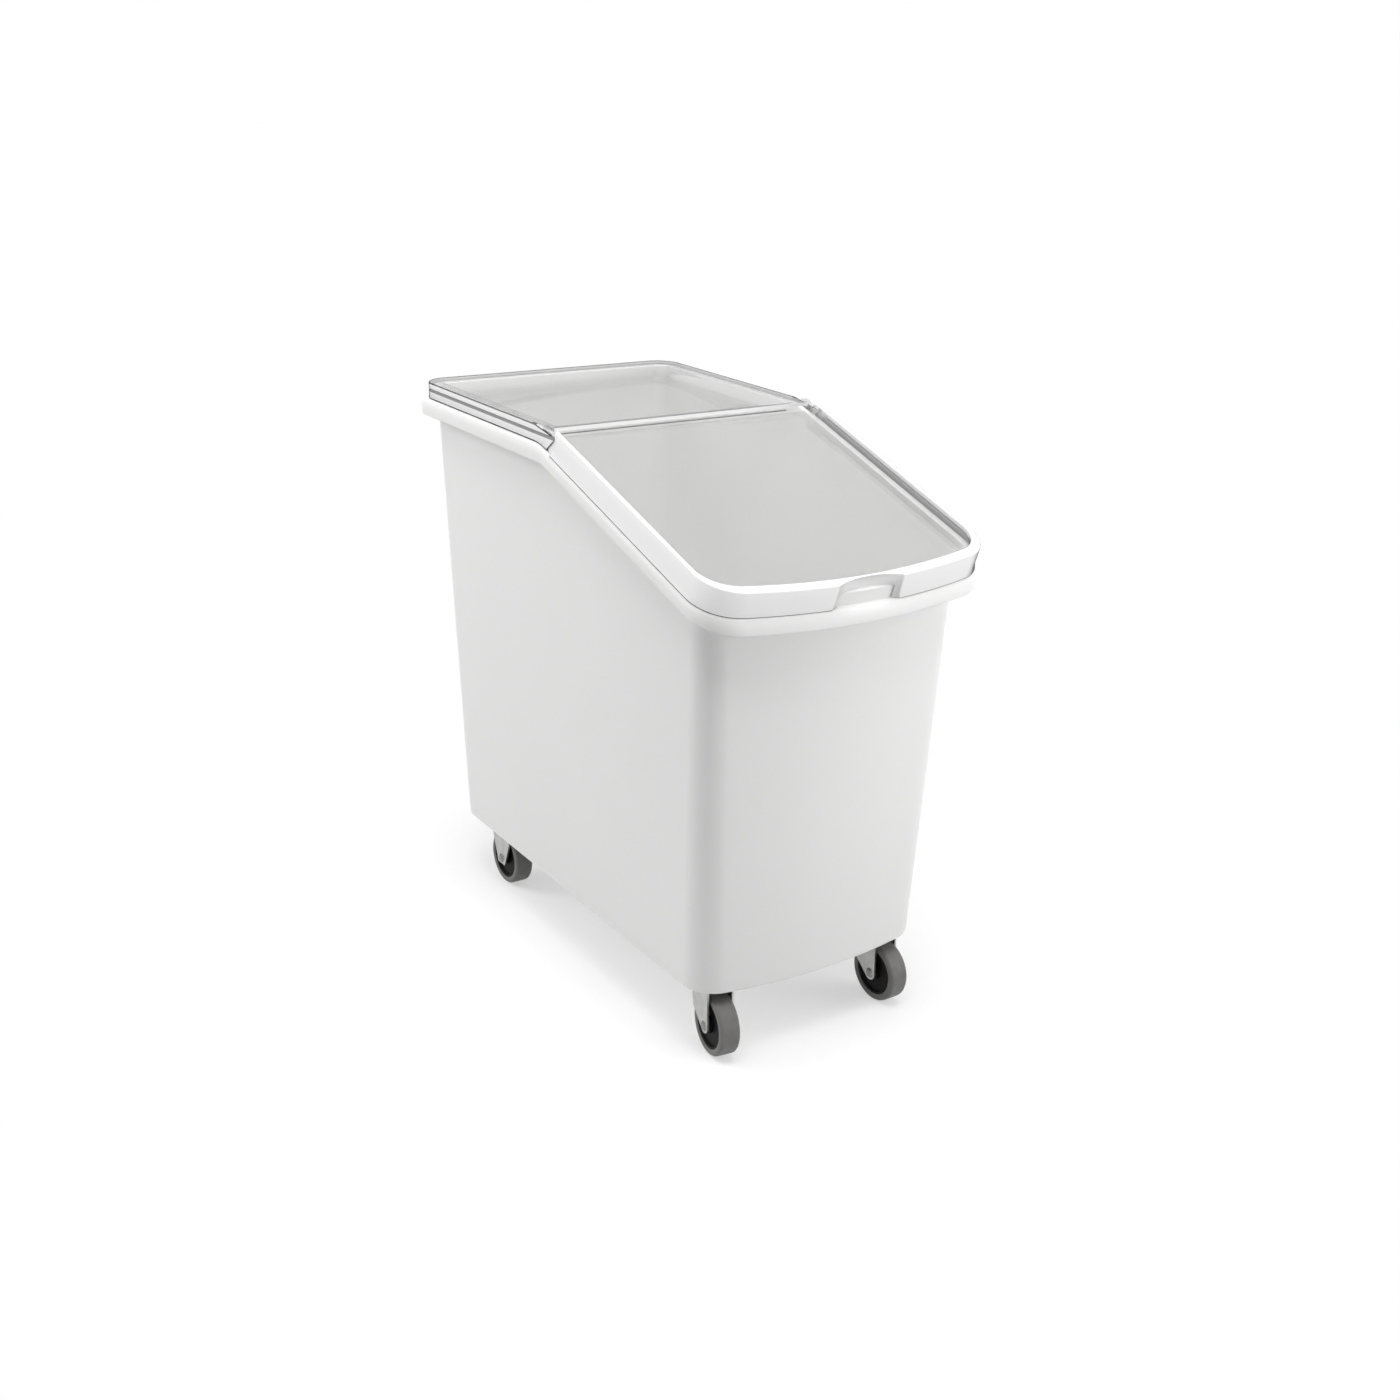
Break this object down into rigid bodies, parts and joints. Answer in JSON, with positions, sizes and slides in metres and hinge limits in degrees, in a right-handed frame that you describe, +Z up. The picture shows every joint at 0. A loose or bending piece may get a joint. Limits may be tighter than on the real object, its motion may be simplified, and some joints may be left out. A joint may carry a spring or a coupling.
{
  "type": "rolling ingredient bin",
  "caption": "Tall white moulded ingredient bin with a sloped front, a clear fixed rear lid, a clear hinged front lid with a finger notch, and swivel and rigid casters.",
  "frame": {"origin": "centre of the bounding box in plan, on the floor under the wheels", "axes": "+Z up, -Y towards the sloped front that opens, +X to the right of a person facing +Y"},
  "size_m": [0.394, 0.7377, 0.703],
  "materials": {
    "tub": "satin moulded",
    "clear_lid": "clear, glossy",
    "zinc": "zinc plated",
    "bright_steel": "bright",
    "dark_steel": "dark",
    "wheel_core": "matt black",
    "tyre": "grey, matt"
  },
  "bodies": {
    "bin": {"tub": "tub", "rear_lid": "clear_lid", "swivel_plate_fl": "zinc", "plate_screws_fl": "bright_steel", "kingpin_fl": "bright_steel", "race_cup_fl": "zinc", "swivel_plate_fr": "zinc", "plate_screws_fr": "bright_steel", "kingpin_fr": "bright_steel", "race_cup_fr": "zinc", "rigid_fork_rl": "zinc", "plate_screws_rl": "bright_steel", "axle_sleeve_rl": "bright_steel", "axle_rivet_rl": "dark_steel", "rigid_fork_rr": "zinc", "plate_screws_rr": "bright_steel", "axle_sleeve_rr": "bright_steel", "axle_rivet_rr": "dark_steel"},
    "front_lid": {"front_lid": "clear_lid"},
    "caster_fl": {"swivel_fork_fl": "zinc", "upper_balls_fl": "bright_steel", "lower_balls_fl": "bright_steel", "axle_sleeve_fl": "bright_steel", "axle_rivet_fl": "dark_steel"},
    "wheel_fl": {"wheel_core_fl": "wheel_core", "tyre_fl": "tyre"},
    "caster_fr": {"swivel_fork_fr": "zinc", "upper_balls_fr": "bright_steel", "lower_balls_fr": "bright_steel", "axle_sleeve_fr": "bright_steel", "axle_rivet_fr": "dark_steel"},
    "wheel_fr": {"wheel_core_fr": "wheel_core", "tyre_fr": "tyre"},
    "wheel_rl": {"wheel_core_rl": "wheel_core", "tyre_rl": "tyre"},
    "wheel_rr": {"wheel_core_rr": "wheel_core", "tyre_rr": "tyre"}
  },
  "joints": [
    {"name": "lid_hinge", "type": "hinge", "parent": "bin", "child": "front_lid", "pos_m": [0, 0.011, 0.6905], "axis": [-1, 0, 0], "range_deg": [0, 135]},
    {"name": "swivel_fl", "type": "hinge", "parent": "bin", "child": "caster_fl", "pos_m": [-0.1215, -0.254, 0.0895], "axis": [0, 0, 1], "continuous": true},
    {"name": "spin_fl", "type": "hinge", "parent": "caster_fl", "child": "wheel_fl", "pos_m": [-0.12637, -0.28866, 0.038], "axis": [0.9903, -0.1392, 0], "continuous": true},
    {"name": "swivel_fr", "type": "hinge", "parent": "bin", "child": "caster_fr", "pos_m": [0.1215, -0.254, 0.0895], "axis": [0, 0, 1], "continuous": true},
    {"name": "spin_fr", "type": "hinge", "parent": "caster_fr", "child": "wheel_fr", "pos_m": [0.12211, -0.28899, 0.038], "axis": [0.9998, 0.0175, 0], "continuous": true},
    {"name": "spin_rl", "type": "hinge", "parent": "bin", "child": "wheel_rl", "pos_m": [-0.1265, 0.232, 0.038], "axis": [1, 0, 0], "continuous": true},
    {"name": "spin_rr", "type": "hinge", "parent": "bin", "child": "wheel_rr", "pos_m": [0.1265, 0.232, 0.038], "axis": [1, 0, 0], "continuous": true}
  ]
}
